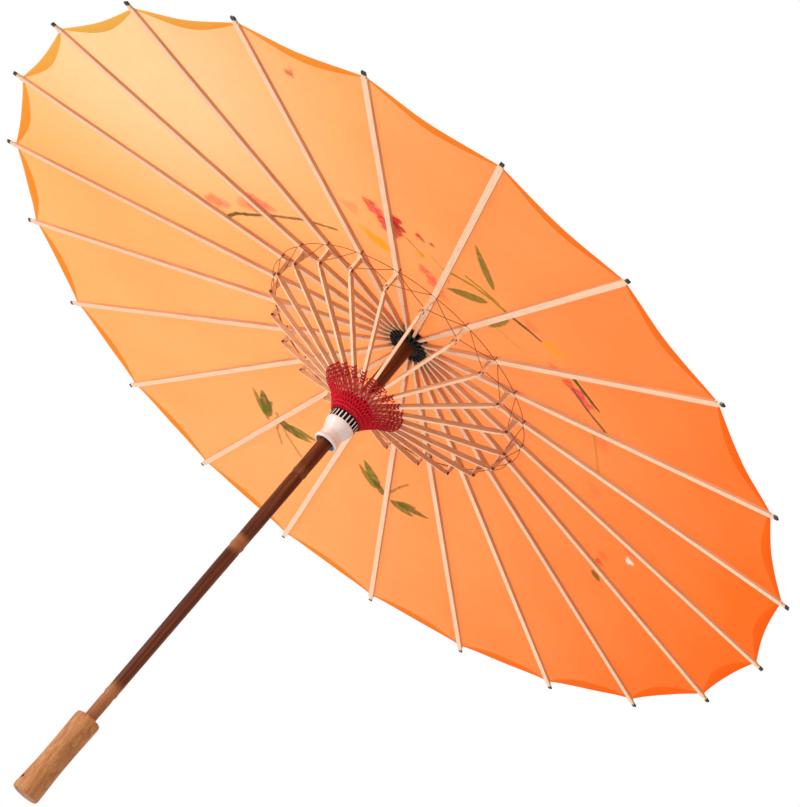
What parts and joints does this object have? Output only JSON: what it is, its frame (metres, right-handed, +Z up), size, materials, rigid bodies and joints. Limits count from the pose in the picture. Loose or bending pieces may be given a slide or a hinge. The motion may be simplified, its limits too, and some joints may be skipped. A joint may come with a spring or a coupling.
{
  "type": "oil paper umbrella",
  "caption": "Open ribbed hand umbrella with a shallow scalloped cone canopy on hinged ribs and stretchers, a sliding runner, a straight shaft and a turned handle.",
  "frame": {"origin": "on the shaft's axis at the middle of the handle, where a hand holds it", "axes": "+Z up along the shaft to the hub; +X to the right seen from the front; rib_01 points 4.4 degrees off -Y"},
  "size_m": [0.8344, 0.8338, 0.5586],
  "materials": {
    "bamboo": "split bamboo, planed, satin",
    "dark_bamboo": "stained and varnished bamboo",
    "handle_wood": "turned light wood, satin",
    "black_wood": "dark stained turned wood",
    "white_wood": "white painted turned wood",
    "wire": "drawn wire, slightly dull",
    "silk": "thin translucent orange cloth"
  },
  "bodies": {
    "frame": {"shaft": "dark_bamboo", "handle": "handle_wood", "handle_peg": "handle_wood", "stop_peg": "bamboo", "hub": "black_wood", "hub_tie_ring": "wire", "hub_peg": "black_wood", "spring_leaf_pin": "wire", "canopy": "silk", "cap": "black_wood", "knob": "handle_wood"},
    "rib_01": {"rib_01": "bamboo"},
    "rib_02": {"rib_02": "bamboo"},
    "rib_03": {"rib_03": "bamboo"},
    "rib_04": {"rib_04": "bamboo"},
    "rib_05": {"rib_05": "bamboo"},
    "rib_06": {"rib_06": "bamboo"},
    "rib_07": {"rib_07": "bamboo"},
    "rib_08": {"rib_08": "bamboo"},
    "rib_09": {"rib_09": "bamboo"},
    "rib_10": {"rib_10": "bamboo"},
    "rib_11": {"rib_11": "bamboo"},
    "rib_12": {"rib_12": "bamboo"},
    "rib_13": {"rib_13": "bamboo"},
    "rib_14": {"rib_14": "bamboo"},
    "rib_15": {"rib_15": "bamboo"},
    "rib_16": {"rib_16": "bamboo"},
    "rib_17": {"rib_17": "bamboo"},
    "rib_18": {"rib_18": "bamboo"},
    "rib_19": {"rib_19": "bamboo"},
    "rib_20": {"rib_20": "bamboo"},
    "rib_21": {"rib_21": "bamboo"},
    "rib_22": {"rib_22": "bamboo"},
    "stretcher_01": {"stretcher_01": "bamboo"},
    "stretcher_02": {"stretcher_02": "bamboo"},
    "stretcher_03": {"stretcher_03": "bamboo"},
    "stretcher_04": {"stretcher_04": "bamboo"},
    "stretcher_05": {"stretcher_05": "bamboo"},
    "stretcher_06": {"stretcher_06": "bamboo"},
    "stretcher_07": {"stretcher_07": "bamboo"},
    "stretcher_08": {"stretcher_08": "bamboo"},
    "stretcher_09": {"stretcher_09": "bamboo"},
    "stretcher_10": {"stretcher_10": "bamboo"},
    "stretcher_11": {"stretcher_11": "bamboo"},
    "stretcher_12": {"stretcher_12": "bamboo"},
    "stretcher_13": {"stretcher_13": "bamboo"},
    "stretcher_14": {"stretcher_14": "bamboo"},
    "stretcher_15": {"stretcher_15": "bamboo"},
    "stretcher_16": {"stretcher_16": "bamboo"},
    "stretcher_17": {"stretcher_17": "bamboo"},
    "stretcher_18": {"stretcher_18": "bamboo"},
    "stretcher_19": {"stretcher_19": "bamboo"},
    "stretcher_20": {"stretcher_20": "bamboo"},
    "stretcher_21": {"stretcher_21": "bamboo"},
    "stretcher_22": {"stretcher_22": "bamboo"},
    "runner": {"runner": "white_wood", "runner_tie_ring": "wire"},
    "spring_leaf": {"spring_leaf": "wire"}
  },
  "joints": [
    {"name": "fold", "type": "hinge", "parent": "frame", "child": "rib_01", "pos_m": [-0.00115, -0.01496, 0.486], "axis": [0.9971, -0.0767, 0], "range_deg": [0, 71.1], "deforming": ["canopy"]},
    {"name": "rib_02_hinge", "type": "hinge", "parent": "frame", "child": "rib_02", "pos_m": [0.00311, -0.01467, 0.486], "axis": [0.9783, 0.2073, 0], "range_deg": [0, 71.1]},
    {"name": "rib_03_hinge", "type": "hinge", "parent": "frame", "child": "rib_03", "pos_m": [0.00712, -0.0132, 0.486], "axis": [0.8803, 0.4745, 0], "range_deg": [0, 71.1]},
    {"name": "rib_04_hinge", "type": "hinge", "parent": "frame", "child": "rib_04", "pos_m": [0.01055, -0.01066, 0.486], "axis": [0.7109, 0.7033, 0], "range_deg": [0, 71.1]},
    {"name": "rib_05_hinge", "type": "hinge", "parent": "frame", "child": "rib_05", "pos_m": [0.01313, -0.00726, 0.486], "axis": [0.484, 0.8751, 0], "range_deg": [0, 71.1]},
    {"name": "rib_06_hinge", "type": "hinge", "parent": "frame", "child": "rib_06", "pos_m": [0.01464, -0.00327, 0.486], "axis": [0.2178, 0.976, 0], "range_deg": [0, 71.1]},
    {"name": "rib_07_hinge", "type": "hinge", "parent": "frame", "child": "rib_07", "pos_m": [0.01497, 0.00099, 0.486], "axis": [-0.066, 0.9978, 0], "range_deg": [0, 71.1]},
    {"name": "rib_08_hinge", "type": "hinge", "parent": "frame", "child": "rib_08", "pos_m": [0.01408, 0.00517, 0.486], "axis": [-0.3444, 0.9388, 0], "range_deg": [0, 71.1]},
    {"name": "rib_09_hinge", "type": "hinge", "parent": "frame", "child": "rib_09", "pos_m": [0.01206, 0.00892, 0.486], "axis": [-0.595, 0.8038, 0], "range_deg": [0, 71.1]},
    {"name": "rib_10_hinge", "type": "hinge", "parent": "frame", "child": "rib_10", "pos_m": [0.00905, 0.01196, 0.486], "axis": [-0.7973, 0.6036, 0], "range_deg": [0, 71.1]},
    {"name": "rib_11_hinge", "type": "hinge", "parent": "frame", "child": "rib_11", "pos_m": [0.00532, 0.01403, 0.486], "axis": [-0.9351, 0.3545, 0], "range_deg": [0, 71.1]},
    {"name": "rib_12_hinge", "type": "hinge", "parent": "frame", "child": "rib_12", "pos_m": [0.00115, 0.01496, 0.486], "axis": [-0.9971, 0.0767, 0], "range_deg": [0, 71.1]},
    {"name": "rib_13_hinge", "type": "hinge", "parent": "frame", "child": "rib_13", "pos_m": [-0.00311, 0.01467, 0.486], "axis": [-0.9783, -0.2073, 0], "range_deg": [0, 71.1]},
    {"name": "rib_14_hinge", "type": "hinge", "parent": "frame", "child": "rib_14", "pos_m": [-0.00712, 0.0132, 0.486], "axis": [-0.8803, -0.4745, 0], "range_deg": [0, 71.1]},
    {"name": "rib_15_hinge", "type": "hinge", "parent": "frame", "child": "rib_15", "pos_m": [-0.01055, 0.01066, 0.486], "axis": [-0.7109, -0.7033, 0], "range_deg": [0, 71.1]},
    {"name": "rib_16_hinge", "type": "hinge", "parent": "frame", "child": "rib_16", "pos_m": [-0.01313, 0.00726, 0.486], "axis": [-0.484, -0.8751, 0], "range_deg": [0, 71.1]},
    {"name": "rib_17_hinge", "type": "hinge", "parent": "frame", "child": "rib_17", "pos_m": [-0.01464, 0.00327, 0.486], "axis": [-0.2178, -0.976, 0], "range_deg": [0, 71.1]},
    {"name": "rib_18_hinge", "type": "hinge", "parent": "frame", "child": "rib_18", "pos_m": [-0.01497, -0.00099, 0.486], "axis": [0.066, -0.9978, 0], "range_deg": [0, 71.1]},
    {"name": "rib_19_hinge", "type": "hinge", "parent": "frame", "child": "rib_19", "pos_m": [-0.01408, -0.00517, 0.486], "axis": [0.3444, -0.9388, 0], "range_deg": [0, 71.1]},
    {"name": "rib_20_hinge", "type": "hinge", "parent": "frame", "child": "rib_20", "pos_m": [-0.01206, -0.00892, 0.486], "axis": [0.595, -0.8038, 0], "range_deg": [0, 71.1]},
    {"name": "rib_21_hinge", "type": "hinge", "parent": "frame", "child": "rib_21", "pos_m": [-0.00905, -0.01196, 0.486], "axis": [0.7973, -0.6036, 0], "range_deg": [0, 71.1]},
    {"name": "rib_22_hinge", "type": "hinge", "parent": "frame", "child": "rib_22", "pos_m": [-0.00532, -0.01403, 0.486], "axis": [0.9351, -0.3545, 0], "range_deg": [0, 71.1]},
    {"name": "stretcher_01_hinge", "type": "hinge", "parent": "rib_01", "child": "stretcher_01", "pos_m": [-0.00997, -0.12962, 0.446], "axis": [0.9971, -0.0767, 0], "range_deg": [-142.2, 0]},
    {"name": "stretcher_02_hinge", "type": "hinge", "parent": "rib_02", "child": "stretcher_02", "pos_m": [0.02695, -0.12718, 0.446], "axis": [0.9783, 0.2073, 0], "range_deg": [-142.2, 0]},
    {"name": "stretcher_03_hinge", "type": "hinge", "parent": "rib_03", "child": "stretcher_03", "pos_m": [0.06169, -0.11443, 0.446], "axis": [0.8803, 0.4745, 0], "range_deg": [-142.2, 0]},
    {"name": "stretcher_04_hinge", "type": "hinge", "parent": "rib_04", "child": "stretcher_04", "pos_m": [0.09143, -0.09242, 0.446], "axis": [0.7109, 0.7033, 0], "range_deg": [-142.2, 0]},
    {"name": "stretcher_05_hinge", "type": "hinge", "parent": "rib_05", "child": "stretcher_05", "pos_m": [0.11376, -0.06292, 0.446], "axis": [0.484, 0.8751, 0], "range_deg": [-142.2, 0]},
    {"name": "stretcher_06_hinge", "type": "hinge", "parent": "rib_06", "child": "stretcher_06", "pos_m": [0.12688, -0.02832, 0.446], "axis": [0.2178, 0.976, 0], "range_deg": [-142.2, 0]},
    {"name": "stretcher_07_hinge", "type": "hinge", "parent": "rib_07", "child": "stretcher_07", "pos_m": [0.12972, 0.00857, 0.446], "axis": [-0.066, 0.9978, 0], "range_deg": [-142.2, 0]},
    {"name": "stretcher_08_hinge", "type": "hinge", "parent": "rib_08", "child": "stretcher_08", "pos_m": [0.12205, 0.04477, 0.446], "axis": [-0.3444, 0.9388, 0], "range_deg": [-142.2, 0]},
    {"name": "stretcher_09_hinge", "type": "hinge", "parent": "rib_09", "child": "stretcher_09", "pos_m": [0.10449, 0.07734, 0.446], "axis": [-0.595, 0.8038, 0], "range_deg": [-142.2, 0]},
    {"name": "stretcher_10_hinge", "type": "hinge", "parent": "rib_10", "child": "stretcher_10", "pos_m": [0.07847, 0.10365, 0.446], "axis": [-0.7973, 0.6036, 0], "range_deg": [-142.2, 0]},
    {"name": "stretcher_11_hinge", "type": "hinge", "parent": "rib_11", "child": "stretcher_11", "pos_m": [0.04609, 0.12156, 0.446], "axis": [-0.9351, 0.3545, 0], "range_deg": [-142.2, 0]},
    {"name": "stretcher_12_hinge", "type": "hinge", "parent": "rib_12", "child": "stretcher_12", "pos_m": [0.00997, 0.12962, 0.446], "axis": [-0.9971, 0.0767, 0], "range_deg": [-142.2, 0]},
    {"name": "stretcher_13_hinge", "type": "hinge", "parent": "rib_13", "child": "stretcher_13", "pos_m": [-0.02695, 0.12718, 0.446], "axis": [-0.9783, -0.2073, 0], "range_deg": [-142.2, 0]},
    {"name": "stretcher_14_hinge", "type": "hinge", "parent": "rib_14", "child": "stretcher_14", "pos_m": [-0.06169, 0.11443, 0.446], "axis": [-0.8803, -0.4745, 0], "range_deg": [-142.2, 0]},
    {"name": "stretcher_15_hinge", "type": "hinge", "parent": "rib_15", "child": "stretcher_15", "pos_m": [-0.09143, 0.09242, 0.446], "axis": [-0.7109, -0.7033, 0], "range_deg": [-142.2, 0]},
    {"name": "stretcher_16_hinge", "type": "hinge", "parent": "rib_16", "child": "stretcher_16", "pos_m": [-0.11376, 0.06292, 0.446], "axis": [-0.484, -0.8751, 0], "range_deg": [-142.2, 0]},
    {"name": "stretcher_17_hinge", "type": "hinge", "parent": "rib_17", "child": "stretcher_17", "pos_m": [-0.12688, 0.02832, 0.446], "axis": [-0.2178, -0.976, 0], "range_deg": [-142.2, 0]},
    {"name": "stretcher_18_hinge", "type": "hinge", "parent": "rib_18", "child": "stretcher_18", "pos_m": [-0.12972, -0.00857, 0.446], "axis": [0.066, -0.9978, 0], "range_deg": [-142.2, 0]},
    {"name": "stretcher_19_hinge", "type": "hinge", "parent": "rib_19", "child": "stretcher_19", "pos_m": [-0.12205, -0.04477, 0.446], "axis": [0.3444, -0.9388, 0], "range_deg": [-142.2, 0]},
    {"name": "stretcher_20_hinge", "type": "hinge", "parent": "rib_20", "child": "stretcher_20", "pos_m": [-0.10449, -0.07734, 0.446], "axis": [0.595, -0.8038, 0], "range_deg": [-142.2, 0]},
    {"name": "stretcher_21_hinge", "type": "hinge", "parent": "rib_21", "child": "stretcher_21", "pos_m": [-0.07847, -0.10365, 0.446], "axis": [0.7973, -0.6036, 0], "range_deg": [-142.2, 0]},
    {"name": "stretcher_22_hinge", "type": "hinge", "parent": "rib_22", "child": "stretcher_22", "pos_m": [-0.04609, -0.12156, 0.446], "axis": [0.9351, -0.3545, 0], "range_deg": [-142.2, 0]},
    {"name": "runner_hinge", "type": "hinge", "parent": "stretcher_01", "child": "runner", "pos_m": [-0.00115, -0.01496, 0.406], "axis": [0.9971, -0.0767, 0], "range_deg": [0, 71.1]},
    {"name": "leaf_press", "type": "hinge", "parent": "frame", "child": "spring_leaf", "pos_m": [0, 0.0022, 0.336], "axis": [1, 0, 0], "range_deg": [0, 4], "stiffness_Nm_per_rad": 0.3}
  ],
  "couplings": [
    {"joint": "rib_02_hinge", "follows": "fold", "ratio": 1},
    {"joint": "rib_03_hinge", "follows": "fold", "ratio": 1},
    {"joint": "rib_04_hinge", "follows": "fold", "ratio": 1},
    {"joint": "rib_05_hinge", "follows": "fold", "ratio": 1},
    {"joint": "rib_06_hinge", "follows": "fold", "ratio": 1},
    {"joint": "rib_07_hinge", "follows": "fold", "ratio": 1},
    {"joint": "rib_08_hinge", "follows": "fold", "ratio": 1},
    {"joint": "rib_09_hinge", "follows": "fold", "ratio": 1},
    {"joint": "rib_10_hinge", "follows": "fold", "ratio": 1},
    {"joint": "rib_11_hinge", "follows": "fold", "ratio": 1},
    {"joint": "rib_12_hinge", "follows": "fold", "ratio": 1},
    {"joint": "rib_13_hinge", "follows": "fold", "ratio": 1},
    {"joint": "rib_14_hinge", "follows": "fold", "ratio": 1},
    {"joint": "rib_15_hinge", "follows": "fold", "ratio": 1},
    {"joint": "rib_16_hinge", "follows": "fold", "ratio": 1},
    {"joint": "rib_17_hinge", "follows": "fold", "ratio": 1},
    {"joint": "rib_18_hinge", "follows": "fold", "ratio": 1},
    {"joint": "rib_19_hinge", "follows": "fold", "ratio": 1},
    {"joint": "rib_20_hinge", "follows": "fold", "ratio": 1},
    {"joint": "rib_21_hinge", "follows": "fold", "ratio": 1},
    {"joint": "rib_22_hinge", "follows": "fold", "ratio": 1},
    {"joint": "stretcher_01_hinge", "follows": "fold", "ratio": -2},
    {"joint": "stretcher_02_hinge", "follows": "fold", "ratio": -2},
    {"joint": "stretcher_03_hinge", "follows": "fold", "ratio": -2},
    {"joint": "stretcher_04_hinge", "follows": "fold", "ratio": -2},
    {"joint": "stretcher_05_hinge", "follows": "fold", "ratio": -2},
    {"joint": "stretcher_06_hinge", "follows": "fold", "ratio": -2},
    {"joint": "stretcher_07_hinge", "follows": "fold", "ratio": -2},
    {"joint": "stretcher_08_hinge", "follows": "fold", "ratio": -2},
    {"joint": "stretcher_09_hinge", "follows": "fold", "ratio": -2},
    {"joint": "stretcher_10_hinge", "follows": "fold", "ratio": -2},
    {"joint": "stretcher_11_hinge", "follows": "fold", "ratio": -2},
    {"joint": "stretcher_12_hinge", "follows": "fold", "ratio": -2},
    {"joint": "stretcher_13_hinge", "follows": "fold", "ratio": -2},
    {"joint": "stretcher_14_hinge", "follows": "fold", "ratio": -2},
    {"joint": "stretcher_15_hinge", "follows": "fold", "ratio": -2},
    {"joint": "stretcher_16_hinge", "follows": "fold", "ratio": -2},
    {"joint": "stretcher_17_hinge", "follows": "fold", "ratio": -2},
    {"joint": "stretcher_18_hinge", "follows": "fold", "ratio": -2},
    {"joint": "stretcher_19_hinge", "follows": "fold", "ratio": -2},
    {"joint": "stretcher_20_hinge", "follows": "fold", "ratio": -2},
    {"joint": "stretcher_21_hinge", "follows": "fold", "ratio": -2},
    {"joint": "stretcher_22_hinge", "follows": "fold", "ratio": -2},
    {"joint": "runner_hinge", "follows": "fold", "ratio": 1}
  ]
}
